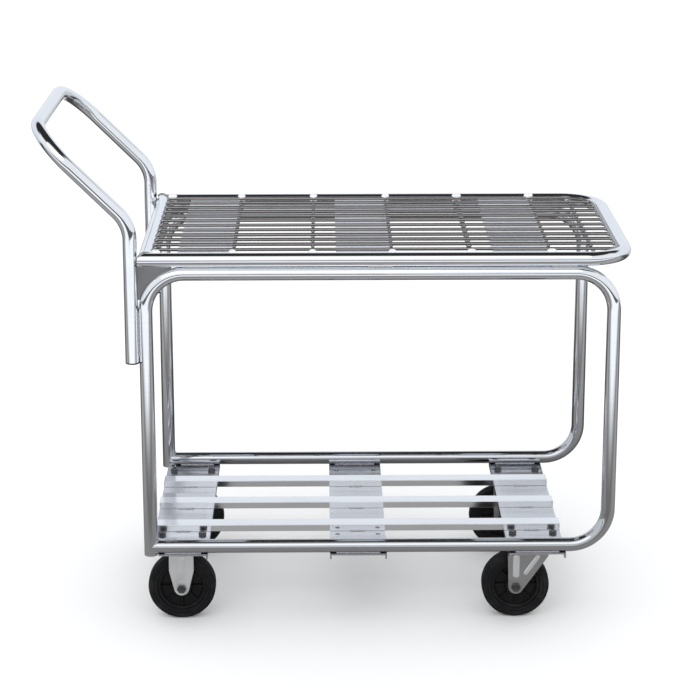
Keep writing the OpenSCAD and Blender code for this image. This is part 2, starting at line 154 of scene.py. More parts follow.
# %% Smears and hairlines
smears = bpy.data.node_groups.new("smears_and_hairlines", "ShaderNodeTree")
g_in, g_out = sockets(
    smears,
    [("Smear Scale", FLOAT, 9.0), ("Hairline Scale", FLOAT, 220.0), ("Stretch", VECTOR, (0.04, 1.0, 1.0))],
    [("Smear", FLOAT), ("Hairline", FLOAT), ("Height", FLOAT)],
)
coords = add_node(smears, "ShaderNodeTexCoord").outputs["Object"]
broad = add_node(smears, "ShaderNodeTexNoise",
                 {"Vector": coords, "Scale": g_in.outputs["Smear Scale"], "Detail": 5.0, "Roughness": 0.6})
stretched = add_node(smears, "ShaderNodeVectorMath", {0: coords, 1: g_in.outputs["Stretch"]},
                     operation="MULTIPLY")
fine = add_node(smears, "ShaderNodeTexNoise",
                {"Vector": stretched.outputs[0], "Scale": g_in.outputs["Hairline Scale"], "Detail": 3.0})
smear = smooth_step(smears, broad.outputs["Fac"], 0.48, 0.72)
hairline = smooth_step(smears, fine.outputs["Fac"], 0.56, 0.70)
relief = math_node(smears, "SUBTRACT", broad.outputs["Fac"], hairline)
for name, value in (("Smear", smear), ("Hairline", hairline), ("Height", relief)):
    smears.links.new(value, g_out.inputs[name])
print("node group:", smears.name)

# %% Worn edges, floor dust and a painted shade that darkens low parts
# Height at which the painted shade on low parts is full.
LOW_SHADE_FLOOR = 0.20
EDGE_SPAN = 0.05
EDGE_BREAKS = 0.03
edges = bpy.data.node_groups.new("worn_edges_dust_and_low_shade", "ShaderNodeTree")
g_in, g_out = sockets(
    edges,
    [("Sharpness", FLOAT, 0.53), ("Dust Height", FLOAT, 0.16), ("Low Shade Height", FLOAT, 0.45)],
    [("Edge", FLOAT), ("Dust", FLOAT), ("Film", FLOAT)],
)
coords = add_node(edges, "ShaderNodeTexCoord").outputs["Object"]
point = add_node(edges, "ShaderNodeNewGeometry").outputs["Pointiness"]
broken = add_node(edges, "ShaderNodeTexNoise", {"Vector": coords, "Scale": 60.0, "Detail": 4.0})
broken = broken.outputs["Fac"]
lifted = math_node(edges, "ADD", point, math_node(edges, "MULTIPLY", broken, EDGE_BREAKS))
sharp = g_in.outputs["Sharpness"]
edge = ramp(edges, lifted, sharp, math_node(edges, "ADD", sharp, EDGE_SPAN))
height = add_node(edges, "ShaderNodeSeparateXYZ", {0: coords}).outputs["Z"]
low_down = ramp(edges, height, g_in.outputs["Dust Height"], 0.0)
dust = math_node(edges, "MULTIPLY", low_down, smooth_step(edges, broken, 0.4, 0.7), clamp=True)
# Painted shade on low parts: none above the set height, full at the floor height given above.
low_shade = ramp(edges, height, g_in.outputs["Low Shade Height"], LOW_SHADE_FLOOR)
for name, value in (("Edge", edge), ("Dust", dust), ("Film", low_shade)):
    edges.links.new(value, g_out.inputs[name])
print("node group:", edges.name)

# %% [markdown]
# ## Finishes: the metals
# A plated metal is one shader: metallic, a base colour that tints what it mirrors, and a roughness.
# What tells bright tube chrome from hazy sheet chrome and zinc is mostly the roughness and how
# uneven it is, so one function makes them all from a table of named values. Where a metal is so hazy
# that its own pale tone shows more than the room, its metallic value is below one.

# %% Plated metals


def tint(colour, factor):
    return (colour[0] * factor, colour[1] * factor, colour[2] * factor, 1.0)


def mix_colour(tree, factor, a, b):
    return add_node(tree, "ShaderNodeMix", {0: factor, 6: a, 7: b}, data_type="RGBA").outputs[2]


def new_material(name):
    material = bpy.data.materials.new(name)
    material.use_nodes = True
    tree = material.node_tree
    return material, tree, tree.nodes["Principled BSDF"]


def shared_effects(tree, smear_scale, hairline_scale, stretch, dust_height):
    """Puts both groups in a material and returns their nodes."""
    marks = add_node(tree, "ShaderNodeGroup", node_tree=smears)
    worn = add_node(tree, "ShaderNodeGroup", node_tree=edges)
    for node, name, value in ((marks, "Smear Scale", smear_scale), (marks, "Stretch", stretch),
                              (marks, "Hairline Scale", hairline_scale), (worn, "Dust Height", dust_height)):
        node.inputs[name].default_value = value
    return marks, worn


def dress(tree, shader, colour, rough, height, distance, strength):
    """Feeds the shader's base colour, roughness and bump."""
    relief = add_node(tree, "ShaderNodeBump", {"Height": height, "Distance": distance, "Strength": strength})
    tree.links.new(colour, shader.inputs["Base Color"])
    tree.links.new(rough, shader.inputs["Roughness"])
    tree.links.new(relief.outputs["Normal"], shader.inputs["Normal"])


# Colour of the painted shade that darkens the lower tubes.
LOW_SHADE_COLOUR = (0.12, 0.12, 0.13, 1)
METAL_DUST = (0.16, 0.145, 0.125, 1)
HAIRLINE_SCALE = 220.0
SMEAR_PART, HAIRLINE_PART = 0.6, 0.4
MARK_TINT, EDGE_TINT, EDGE_BRIGHT = 0.35, 0.5, 1.1
DUST_HAZE = 0.35


def plated(name, colour, smooth, hazy, dark=0.7, smear_scale=9.0, stretch=(0.04, 1, 1), bump=0.00001,
           dust_height=0.05, low_shade=0.0, metallic=1.0):
    """Plated metal: roughness runs from smooth to hazy with smears, hairlines and wear; low parts take a
    painted shade.
    """
    material, tree, shader = new_material(name)
    marks, worn = shared_effects(tree, smear_scale, HAIRLINE_SCALE, stretch, dust_height)

    def share(socket, factor):
        return math_node(tree, "MULTIPLY", socket, factor)

    dust = worn.outputs["Dust"]
    mixed = math_node(tree, "ADD", share(marks.outputs["Smear"], SMEAR_PART),
                      share(marks.outputs["Hairline"], HAIRLINE_PART), clamp=True)
    rough = add_node(tree, "ShaderNodeMapRange", {"Value": mixed, "To Min": smooth, "To Max": hazy})
    rough = math_node(tree, "ADD", rough.outputs["Result"], share(dust, DUST_HAZE))
    tone = mix_colour(tree, share(mixed, MARK_TINT), tint(colour, 1.0), tint(colour, dark))
    tone = mix_colour(tree, share(worn.outputs["Edge"], EDGE_TINT), tone, tint(colour, EDGE_BRIGHT))
    # Mixes in the painted shade on low parts.
    tone = mix_colour(tree, share(worn.outputs["Film"], low_shade), tone, LOW_SHADE_COLOUR)
    tone = mix_colour(tree, dust, tone, METAL_DUST)
    dress(tree, shader, tone, rough, marks.outputs["Height"], distance=bump, strength=0.6)
    shader.inputs["Metallic"].default_value = metallic
    return material


CASTER_ZINC = dict(smear_scale=40, stretch=(1, 1, 0.1), bump=0.00002, dust_height=0.10, metallic=0.75)
WELD = dict(smooth=0.25, smear_scale=160, stretch=(1, 1, 1), bump=0.0001)
PLATED = {
    # The tubes take the painted shade on their lower parts.
    "chrome_tube": dict(colour=(0.80, 0.82, 0.85), smooth=0.05, hazy=0.15, low_shade=0.45),
    "chrome_sheet": dict(colour=(0.80, 0.81, 0.83), smooth=0.13, hazy=0.24, smear_scale=5, bump=0.000004),
    "bolster_chrome": dict(colour=(0.56, 0.57, 0.60), smooth=0.14, hazy=0.32, dark=0.3, smear_scale=6),
    "support_chrome": dict(colour=(0.86, 0.90, 0.97), smooth=0.30, hazy=0.45, dark=0.9, smear_scale=8,
                           metallic=0.2),
    "chrome_wire": dict(colour=(0.25, 0.24, 0.235), smooth=0.16, hazy=0.34, smear_scale=25),
    "plated_caster": dict(colour=(0.72, 0.73, 0.74), smooth=0.34, hazy=0.50, **CASTER_ZINC),
    # A darker copy of the caster zinc: painted shade on the swivel forks.
    "shaded_swivel_fork_zinc": dict(colour=(0.34, 0.335, 0.34), smooth=0.30, hazy=0.46, **CASTER_ZINC),
    "plated_fastener": dict(colour=(0.11, 0.11, 0.115), smooth=0.28, hazy=0.50, smear_scale=120,
                            stretch=(1, 1, 1)),
    "bearing_steel": dict(colour=(0.55, 0.55, 0.56), smooth=0.15, hazy=0.35, smear_scale=60,
                          stretch=(1, 0.05, 1)),
    "weld_metal": dict(colour=(0.45, 0.45, 0.46), hazy=0.45, **WELD),
    # A near-white weld finish: a painted highlight on the puddles where the deck's wires meet the hoop.
    "highlight_painted_weld": dict(colour=(0.95, 0.96, 0.98), hazy=0.40, metallic=0.3, **WELD),
    "brushed_gusset": dict(colour=(0.24, 0.24, 0.25), smooth=0.34, hazy=0.50, smear_scale=20,
                           stretch=(0.03, 1, 1)),
}
MATERIALS = {name: plated(name, **values) for name, values in PLATED.items()}
print("plated metals:", sorted(MATERIALS))

# %% [markdown]
# ## Finishes: rubber and moulded plastic
# The wheels are black all through. The tread is matt and greyed by scuffs where it rolls, and the
# core is a little glossier, with the fine stipple of a moulding tool.

# %% Dark moulded materials
MOULD_DUST = (0.11, 0.10, 0.09, 1)


def moulded(name, colour, scuffed, rough, stipple, bump, dust_height):
    """A dark moulded solid with a stippled surface, pale scuffs and dust low down."""
    material, tree, shader = new_material(name)
    marks, worn = shared_effects(tree, smear_scale=45.0, hairline_scale=300.0, stretch=(1.0, 0.2, 1.0),
                                 dust_height=dust_height)
    scuffs = math_node(tree, "MULTIPLY", marks.outputs["Smear"], 0.7)
    tone = mix_colour(tree, scuffs, tint(colour, 1), tint(scuffed, 1))
    tone = mix_colour(tree, math_node(tree, "MULTIPLY", worn.outputs["Dust"], 0.2), tone, MOULD_DUST)
    coords = add_node(tree, "ShaderNodeTexCoord").outputs["Object"]
    grain = add_node(tree, "ShaderNodeTexNoise", {"Vector": coords, "Scale": stipple, "Detail": 2.0})
    grain = grain.outputs["Fac"]
    uneven = math_node(tree, "ADD", math_node(tree, "MULTIPLY", grain, 0.2), rough - 0.1, clamp=True)
    dress(tree, shader, tone, uneven, grain, distance=bump, strength=0.7)
    shader.inputs["Specular IOR Level"].default_value = 0.2
    return material


MOULDED = {
    "rubber_tread": dict(colour=(0.006, 0.006, 0.007), scuffed=(0.018, 0.018, 0.018), rough=0.74,
                         stipple=900, bump=0.0002, dust_height=0.01),
    "moulded_core": dict(colour=(0.006, 0.006, 0.007), scuffed=(0.013, 0.013, 0.013), rough=0.5,
                         stipple=1400, bump=0.0001, dust_height=0.03),
    "moulded_plug": dict(colour=(0.05, 0.05, 0.052), scuffed=(0.09, 0.09, 0.09), rough=0.5,
                         stipple=1600, bump=0.0001, dust_height=0.02),
}
for name, values in MOULDED.items():
    MATERIALS[name] = moulded(name, **values)
print("moulded finishes added, materials:", len(MATERIALS))

# %% Every CAD node takes its slot's finish
slots = {row["node"]: row["material_slot"] for row in frame["record"]["subparts"]}
for name, obj in NODES.items():
    obj.data.materials.clear()
    obj.data.materials.append(MATERIALS[slots[name]])
print("finishes given to", len(slots), "CAD nodes")

# %% [markdown]
# ## Tools for pieces
# A finished piece sits at the origin with its place in its mesh. `place_piece` links it, lets it
# ride on its CAD body and hides the CAD node that it stands for.

# %% Piece helpers


def link(obj):
    if obj.name not in bpy.context.scene.collection.objects:
        bpy.context.scene.collection.objects.link(obj)
    return obj


def place_piece(obj, body, replaces=()):
    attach(link(obj), body)
    if replaces:
        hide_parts(*replaces)
    return obj


def body_of(node):
    for body, members in frame["record"]["behaviour"]["bodies"].items():
        if node in members:
            return body


def shade(mesh, angle=35):
    """Smooth shading with creases at edges sharper than the angle."""
    mesh.polygons.foreach_set("use_smooth", [True] * len(mesh.polygons))
    mesh.set_sharp_from_angle(angle=math.radians(angle))


def opened(*meshes):
    """A bmesh that holds the given meshes."""
    bm = bmesh.new()
    for mesh in meshes:
        bm.from_mesh(mesh)
    return bm


def evaluated_mesh(obj):
    """The object's mesh with its modifiers applied."""
    bpy.context.view_layer.update()
    ready = obj.evaluated_get(bpy.context.evaluated_depsgraph_get())
    return bpy.data.meshes.new_from_object(ready)


def mesh_from(name, bm, finish, angle=35):
    mesh = bpy.data.meshes.new(name)
    bm.to_mesh(mesh)
    bm.free()
    mesh.materials.append(MATERIALS[finish])
    shade(mesh, angle)
    return bpy.data.objects.new(name, mesh)


# %% [markdown]
# ## One node tree for every tube and wire
# A bent tube is a circle carried along a line. The line is drawn as a curve from its corner points,
# and a small Geometry Nodes tree carries the circle along it, so all tubes and wires share a tree.

# %% The sweep tree


def geometry_tree(name, ins):
    tree = bpy.data.node_groups.new(name, "GeometryNodeTree")
    shape = ("Geometry", "NodeSocketGeometry")
    return (tree, *sockets(tree, [(*shape, None)] + ins, [shape]))


def close_tree(tree, geometry, g_in, g_out):
    real = add_node(tree, "GeometryNodeRealizeInstances", {0: geometry})
    painted = add_node(tree, "GeometryNodeSetMaterial",
                       {"Geometry": real.outputs[0], "Material": g_in.outputs["Material"]})
    tree.links.new(painted.outputs[0], g_out.inputs[0])


sweep_tree, g_in, g_out = geometry_tree(
    "round_bar_along_line",
    [("Radius", FLOAT, 0.01), ("Around", "NodeSocketInt", 32), ("Material", MATERIAL, None)],
)
ring = add_node(sweep_tree, "GeometryNodeCurvePrimitiveCircle",
                {"Resolution": g_in.outputs["Around"], "Radius": g_in.outputs["Radius"]})
bar = add_node(sweep_tree, "GeometryNodeCurveToMesh",
               {"Curve": g_in.outputs["Geometry"], "Profile Curve": ring.outputs[0], "Fill Caps": True})
close_tree(sweep_tree, bar.outputs[0], g_in, g_out)


def run_tree(name, source, tree, finish, values):
    """Puts the tree on the source, sets its inputs by identifier and keeps the result as a mesh."""
    values = {"Material": MATERIALS[finish], **values}
    modifier = link(source).modifiers.new("make", "NODES")
    modifier.node_group = tree
    for item in tree.interface.items_tree:
        if item.in_out == "INPUT" and item.name in values:
            modifier[item.identifier] = values[item.name]
    source.update_tag()
    mesh = evaluated_mesh(source)
    source.modifiers.remove(modifier)
    bpy.data.objects.remove(source)
    mesh.name = name
    return bpy.data.objects.new(name, mesh)


print("tree ready:", sweep_tree.name)

# %% Lines with rounded corners


def rounded(corners, radii):
    """Points of a line through the corners, each inner corner turned on its own radius."""
    corners = [Vector(c) for c in corners]
    points = [corners[0]]
    for before, corner, after, radius in zip(corners, corners[1:], corners[2:], radii):
        into = (corner - before).normalized()
        out = (after - corner).normalized()
        turn = into.angle(out)
        start = corner - into * radius * math.tan(turn / 2)
        inward = (out - into * into.dot(out)).normalized()
        centre = start + inward * radius
        steps = max(2, round(turn / ARC_STEP))
        for k in range(steps + 1):
            a = turn * k / steps
            points.append(centre - inward * radius * math.cos(a) + into * radius * math.sin(a))
    points.append(corners[-1])
    return points


def line_object(name, paths):
    """A curve object with one straight-sided spline for each list of points."""
    curve = bpy.data.curves.new(name, "CURVE")
    curve.dimensions = "3D"
    for path in paths:
        spline = curve.splines.new("POLY")
        spline.points.add(len(path) - 1)
        for point, place in zip(spline.points, path):
            point.co = (*place, 1.0)
    return bpy.data.objects.new(name + "_line", curve)


def bars(name, paths, radius, around, slot, node):
    """Sweeps a round bar along each path and puts it in place of its CAD node."""
    obj = run_tree(name, line_object(name, paths), sweep_tree, slot, {"Radius": radius, "Around": around})
    shade(obj.data, 40)
    place_piece(obj, body_of(node), [node])
    print(name, len(obj.data.polygons), "faces")
    return obj


# %% [markdown]
# ## The two side frames
# Each side frame is a single tube: up the rear leg, over the top, down the front leg and back along
# the bottom until it meets the foot it started from, where it is welded.

# %% Side frames
for side in SIDES:
    y = middle("side_frame_" + side).y
    corners = [(REAR_X, y, loop_low.z), (REAR_X, y, TOP_Z), (FRONT_X, y, TOP_Z),
               (FRONT_X, y, RAIL_Z), (REAR_X, y, RAIL_Z)]
    bars(f"side_tube_{side}", [rounded(corners, [LOOP_BEND] * 3)], TUBE_R, TUBE_SIDES, "chrome_tube",
         "side_frame_" + side)

# %% [markdown]
# ## The push handle
# The handle's legs stand against the rear legs, lean back half way to level and turn in to the grip.
# The two lower bends lie in one plane and the two at the grip in another, which the corner rule
# handles alike, because it only looks at the three corners next to each other.

# %% Push handle
handle_x = handle_high.x - TUBE_R
grip = Vector((handle_low.x + TUBE_R, 0, handle_high.z - TUBE_R))
elbow_z = grip.z - (handle_x - grip.x) / math.tan(HANDLE_LEAN)
corners = [(handle_x, -HALF_W, handle_low.z), (handle_x, -HALF_W, elbow_z), (grip.x, -HALF_W, grip.z),
           (grip.x, HALF_W, grip.z), (handle_x, HALF_W, elbow_z), (handle_x, HALF_W, handle_low.z)]
bars("handle_tube", [rounded(corners, [HANDLE_BEND, GRIP_BEND, GRIP_BEND, HANDLE_BEND])], TUBE_R, TUBE_SIDES,
     "chrome_tube", "push_handle")

# %% [markdown]
# ## The upper deck's tubes
# The hoop and the rear rail meet in a mitre, as a picture frame does. Both are swept a little too
# long and then cut along the same slanting plane, which leaves the sharp corner of the real joint.

# %% Hoop and rear rail, cut to their mitres


def cut_mitres(obj, keep_front):
    """Cuts the ends along the planes through the two rear corners and closes the cuts."""
    bm = opened(obj.data)
    for side in (-1, 1):
        corner = Vector((REAR_X, side * HALF_W, HOOP_Z))
        facing = Vector((-1, -side, 0)) * (1 if keep_front else -1)
        here = [v for v in bm.verts if v.co.y * side > 0]
        near = set(here)
        spans = (lambda part: all(v in near for v in part.verts)) if keep_front else (lambda part: True)
        geom = here + [e for e in bm.edges if spans(e)] + [f for f in bm.faces if spans(f)]
        cut = bmesh.ops.bisect_plane(bm, geom=geom, dist=1e-7, plane_co=corner, plane_no=facing,
                                     clear_outer=True)
        rim = [e for e in cut["geom_cut"] if isinstance(e, bmesh.types.BMEdge)]
        bmesh.ops.holes_fill(bm, edges=rim, sides=0)
    bmesh.ops.recalc_face_normals(bm, faces=bm.faces[:])
    bm.to_mesh(obj.data)
    bm.free()
    shade(obj.data, 40)


SPARE = 0.04
corners = [(REAR_X - SPARE, -HALF_W, HOOP_Z), (HOOP_X, -HALF_W, HOOP_Z), (HOOP_X, HALF_W, HOOP_Z),
           (REAR_X - SPARE, HALF_W, HOOP_Z)]
hoop = bars("hoop_tube", [rounded(corners, [HOOP_BEND] * 2)], TUBE_R, TUBE_SIDES, "chrome_tube", "deck_hoop")
cut_mitres(hoop, True)
line = [Vector((REAR_X, side * (HALF_W + SPARE), HOOP_Z)) for side in (-1, 1)]
rail = bars("rear_rail_tube", [line], TUBE_R, TUBE_SIDES, "chrome_tube", "deck_rear_rail")
cut_mitres(rail, False)

# %% [markdown]
# ## The wire deck
# Three layers make the deck: cross wires between the hoop's sides, lengthwise wires on top of them,
# and a rim wire bent round the inside of the hoop. Each layer is one sweep over many lines. Their
# places are read from the CAD nodes' own solids, so the pattern can't drift from the design.

# %% Places of the wires


def runs(node, axis):
    """For each wire of a node: its place across, and where it starts and ends along the axis."""
    across = 1 - axis
    mesh = NODES[node].data
    found = {}
    for vertex in mesh.vertices:
        found.setdefault(round(vertex.co[across] / (4 * WIRE_R)), []).append(vertex.co)
    rows = []
    for points in found.values():
        side = [p[across] for p in points]
        along = [p[axis] for p in points]
        rows.append(((min(side) + max(side)) / 2, min(along), max(along)))
    return sorted(rows)


long_wires = runs("deck_long_wires", 0)
cross_wires = runs("deck_cross_wires", 1)
rim_low, rim_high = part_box("deck_rim_wire")
print(len(long_wires), "lengthwise wires,", len(cross_wires), "cross wires")

# %% Sweep the three layers
bars("lengthwise_wires", [[Vector((a, y, LONG_Z)), Vector((b, y, LONG_Z))] for y, a, b in long_wires],
     WIRE_R, WIRE_SIDES, "chrome_wire", "deck_long_wires")
bars("cross_wires", [[Vector((x, a, CROSS_Z)), Vector((x, b, CROSS_Z))] for x, a, b in cross_wires],
     WIRE_R, WIRE_SIDES, "chrome_wire", "deck_cross_wires")
rim_y = rim_high.y - WIRE_R
rim_x = rim_high.x - WIRE_R
rim_bend = HOOP_BEND - (HOOP_X - rim_x)
rim_ends = ((rim_low.x, -rim_y), (rim_x, -rim_y), (rim_x, rim_y), (rim_low.x, rim_y))
corners = [(*end, LONG_Z) for end in rim_ends]
bars("rim_wire", [rounded(corners, [rim_bend] * 2)], WIRE_R, WIRE_SIDES, "chrome_wire", "deck_rim_wire")

# %% [markdown]
# ## Sheet parts with folded edges
# Bolsters, slats, supports, gussets and forks are pressed from sheet, so no edge of theirs is truly
# sharp. A copy of each CAD mesh is merged into whole faces and its sharp edges are rounded with a
# bevel, which keeps every size and hole as designed. A short table gives some of them their own
# finish: the gussets, bolsters and supports were plated or brushed in another way than the rest of
# their slot, and the swivel forks take a darker copy of the caster zinc as painted shade.

# %% Rounding the sheet parts
OWN_FINISH = {"gusset": "brushed_gusset", "bolster": "bolster_chrome", "deck_support": "support_chrome",
              "front_right_fork": "shaded_swivel_fork_zinc", "front_left_fork": "shaded_swivel_fork_zinc"}


def softened(node, width):
    """A copy of a CAD node with its flat faces made whole and its sharp edges rounded."""
    bm = opened(NODES[node].data)
    bmesh.ops.remove_doubles(bm, verts=bm.verts[:], dist=1e-5)
    bmesh.ops.dissolve_limit(bm, angle_limit=math.radians(1), verts=bm.verts[:], edges=bm.edges[:])
    slot = slots[node]
    finish = next((own for word, own in OWN_FINISH.items() if node.startswith(word)), slot)
    obj = link(mesh_from(node + "_pressed", bm, finish))
    bevel = obj.modifiers.new("round", "BEVEL")
    bevel.width = width
    bevel.segments = 3
    bevel.limit_method = "ANGLE"
    bevel.angle_limit = math.radians(40)
    bevel.use_clamp_overlap = True
    bevel.harden_normals = True
    mesh = evaluated_mesh(obj)
    obj.modifiers.remove(bevel)
    obj.data = mesh
    place_piece(obj, body_of(node), [node])


SLATS = ["slat_right", "slat_middle", "slat_left"]
SHEET = [
    (0.0012, [f"bolster_{where}" for where in PLACES]),
    (0.0009, SLATS),
    (0.0008, [f"deck_support_{where}" for where in PLACES] + [f"gusset_{side}" for side in SIDES]),
    (0.0010, [wheel + "_fork" for wheel in WHEELS]),
    (0.0008, [f"front_{side}_{part}" for part in ("top_plate", "kingpin") for side in SIDES]),
    (0.0012, ["handle_end_plugs"]),
]
for width, members in SHEET:
    for node in members:
        softened(node, width)
    print("rounded by", width, "m:", len(members), "sheet parts")

# %% [markdown]
# ## Weld seams
# Nothing on the frame is bolted together: short seams of weld metal hold it. A seam shows the ripple
# that the puddle leaves as it moves along, so its radius follows a sine wave of the length run. The
# tree takes any line, which lets every seam of the cart come from two lists of lines.

# %% The seam tree
seam_tree, g_in, g_out = geometry_tree(
    "rippled_seam_along_line",
    [("Radius", FLOAT, 0.002), ("Ripple", FLOAT, 0.0022), ("Depth", FLOAT, 0.16),
     ("Material", MATERIAL, None)],
)
step = math_node(seam_tree, "DIVIDE", g_in.outputs["Ripple"], 4.0)
dense = add_node(seam_tree, "GeometryNodeResampleCurve",
                 {"Curve": g_in.outputs["Geometry"], "Length": step}, mode="LENGTH")
run = seam_tree.nodes.new("GeometryNodeSplineParameter")
phase = math_node(seam_tree, "DIVIDE", run.outputs["Length"], g_in.outputs["Ripple"])
wave = math_node(seam_tree, "SINE", math_node(seam_tree, "MULTIPLY", phase, 2 * math.pi), 0.0)
swell = math_node(seam_tree, "ADD", 1.0, math_node(seam_tree, "MULTIPLY", wave, g_in.outputs["Depth"]))
ring = add_node(seam_tree, "GeometryNodeCurvePrimitiveCircle",
                {"Resolution": 8, "Radius": g_in.outputs["Radius"]})
seam = add_node(seam_tree, "GeometryNodeCurveToMesh",
                {"Curve": dense.outputs[0], "Profile Curve": ring.outputs[0], "Scale": swell,
                 "Fill Caps": True})
close_tree(seam_tree, seam.outputs[0], g_in, g_out)
print("tree ready:", seam_tree.name)

# %% Lines where tubes are welded
VALLEY = 0.0045
STITCH = 0.045
FOOT_GAP = 0.012


def along_x(x0, x1, y, z):
    return [Vector((x0, y, z)), Vector((x1, y, z))]


tube_seams = []
for side in (-1, 1):
    y0 = side * HALF_W
    for start in (0, 180):
        turns = [math.radians(start + a) for a in range(35, 146, 5)]
        tube_seams.append([Vector((REAR_X + TUBE_R * abs(math.sin(t)), y0 + TUBE_R * math.cos(t),
                                   RAIL_Z + TUBE_R * math.sin(t))) for t in turns])
    turns = [math.radians(a) for a in range(-145, 146, 5)]
    tube_seams.append([Vector((REAR_X + TUBE_R * math.cos(t), side * (HALF_W - TUBE_R * math.cos(t)),
                               HOOP_Z + TUBE_R * math.sin(t))) for t in turns])
    for valley in (-VALLEY, VALLEY):
        for x in (REAR_X + LOOP_BEND, (REAR_X + FRONT_X - STITCH) / 2, FRONT_X - LOOP_BEND - STITCH):
            tube_seams.append(along_x(x, x + STITCH, y0 + valley, TOP_Z + TUBE_R))
        for z in (handle_low.z + FOOT_GAP, TOP_Z - LOOP_BEND - STITCH):
            x = REAR_X - TUBE_R
            tube_seams.append([Vector((x, y0 + valley, z)), Vector((x, y0 + valley, z + STITCH))])
print("tube seams:", len(tube_seams))

# %% Lines where sheet parts are welded
INSET = 0.012
SLAT_SEAM = 0.014
SUPPORT_SEAM = 0.02
GUSSET_INSET = 0.004
sheet_seams = []
for where in PLACES:
    low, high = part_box("bolster_" + where)
    for side in (-1, 1):
        for valley in (-VALLEY, VALLEY):
            start = max(low.x + INSET, REAR_X + TUBE_R + INSET)
            sheet_seams.append(along_x(start, high.x - INSET, side * HALF_W + valley, high.z + 0.0006))
    for slat in SLATS:
        slat_low, slat_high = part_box(slat)
        centre = (low.x + high.x) / 2
        for y in (slat_low.y, slat_high.y):
            sheet_seams.append(along_x(centre - SLAT_SEAM, centre + SLAT_SEAM, y, high.z + 0.0004))
    low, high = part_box("deck_support_" + where)
    edge = HALF_W - math.sqrt(TUBE_R ** 2 - (high.z - HOOP_Z) ** 2)
    for side in (-1, 1):
        for x in (low.x + INSET, high.x - INSET - SUPPORT_SEAM):
            sheet_seams.append(along_x(x, x + SUPPORT_SEAM, side * edge, high.z))
for side, name in ((-1, "gusset_right"), (1, "gusset_left")):
    low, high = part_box(name)
    half = size(name).y / 2
    for face in (-half, half):
        sheet_seams.append(along_x(low.x + GUSSET_INSET, high.x - GUSSET_INSET, side * HALF_W + face,
                                   HOOP_Z - math.sqrt(TUBE_R ** 2 - half ** 2)))
print("sheet seams:", len(sheet_seams))

# %% Lay the seams
for name, lines, radius in (("tube_weld_seams", tube_seams, 0.0021),
                            ("sheet_weld_seams", sheet_seams, 0.0015)):
    obj = run_tree(name, line_object(name, lines), seam_tree, "weld_metal",
                   {"Radius": radius, "Ripple": 0.0022, "Depth": 0.16})
    shade(obj.data, 80)
    place_piece(obj, "cart_frame")
    print(name, len(obj.data.polygons), "faces")

# %% [markdown]
# ## Copies at points
# Fasteners and spot welds are one small model put down at many places. The tree takes the model as an
# object input and instances it on the vertices of a mesh that holds nothing but the places.

# %% The copy tree
copy_tree, g_in, g_out = geometry_tree(
    "copies_at_points",
    [("Part", "NodeSocketObject", None), ("Turn", VECTOR, (0.0, 0.0, 0.0)), ("Material", MATERIAL, None)],
)
part = add_node(copy_tree, "GeometryNodeObjectInfo", {"Object": g_in.outputs["Part"]})
put = add_node(copy_tree, "GeometryNodeInstanceOnPoints",
               {"Points": g_in.outputs["Geometry"], "Instance": part.outputs["Geometry"],
                "Rotation": g_in.outputs["Turn"]})
close_tree(copy_tree, put.outputs[0], g_in, g_out)


def copies(name, part, places, finish, turn=(0, 0, 0), crease=30):
    """Puts a copy of the part at each place and returns them as one plain mesh object."""
    mesh = bpy.data.meshes.new(name + "_places")
    mesh.from_pydata([tuple(p) for p in places], [], [])
    obj = run_tree(name, bpy.data.objects.new(name + "_places", mesh), copy_tree, finish,
                   {"Part": part, "Turn": Vector(turn)})
    shade(obj.data, crease)
    return obj


print("tree ready:", copy_tree.name)

# %% [markdown]
# ## Spot welds of the wire deck
# Each wire is pressed into the next while a current melts the touching metal, which leaves a small
# flattened bump. The cross wires' ends sit on the hoop in larger, brighter puddles, and the rim wire
# has a puddle of its own above each of them; the near-white finish of these puddles is a painted highlight.

# %% Spot welds


def flat_ball(name, radius, squash):
    bm = bmesh.new()
    bmesh.ops.create_icosphere(bm, subdivisions=2, radius=radius)
    bmesh.ops.scale(bm, vec=squash, verts=bm.verts[:])
    return mesh_from(name, bm, "weld_metal", 80)


PUDDLE_LIFT = 0.002
RIM_PUDDLE_LIFT = 0.004
joint_z = CROSS_Z + WIRE_R
rim_meets = [(x, side) for x, a, b in cross_wires[:-1] for side in (-1, 1)]
crossings = [(x, y, joint_z) for x, a, b in cross_wires for y, start, end in long_wires if start < x < end]
crossings += [(x, side * rim_y, joint_z) for x, side in rim_meets]
line_ends = [(x, y, LONG_Z) for y, start, end in long_wires for x in (start, end)]
puddles = [(x, y, CROSS_Z + PUDDLE_LIFT) for x, a, b in cross_wires for y in (a, b)]
rim_puddles = [(x, side * (rim_y + WIRE_R), LONG_Z + RIM_PUDDLE_LIFT) for x, side in rim_meets]
for name, radius, squash, places, finish in (
        ("wire_crossing_welds", 0.0042, (1.0, 1.0, 0.5), crossings, "weld_metal"),
        ("wire_end_welds", 0.0044, (0.6, 1.0, 1.0), line_ends, "weld_metal"),
        # These two take the near-white weld finish, a painted highlight.
        ("rim_wire_puddles", 0.0078, (1.0, 0.8, 0.75), rim_puddles, "highlight_painted_weld"),
        ("cross_wire_puddles", 0.0068, (1.0, 0.6, 0.85), puddles, "highlight_painted_weld")):
    obj = copies(name, flat_ball(name + "_model", radius, squash), places, finish, crease=80)
    place_piece(obj, "cart_frame")
    print(name, len(places))

# %% [markdown]
# ## Hex bolts and nuts
# A hex head is turned as well as forged: a cone takes the corners off its top, which leaves curved
# lines on the six flats. Rings of points give it: each follows the hexagon, and the height of the
# upper one falls with the distance from the axis.

# %% Ring tools
HEX_STEPS = 48


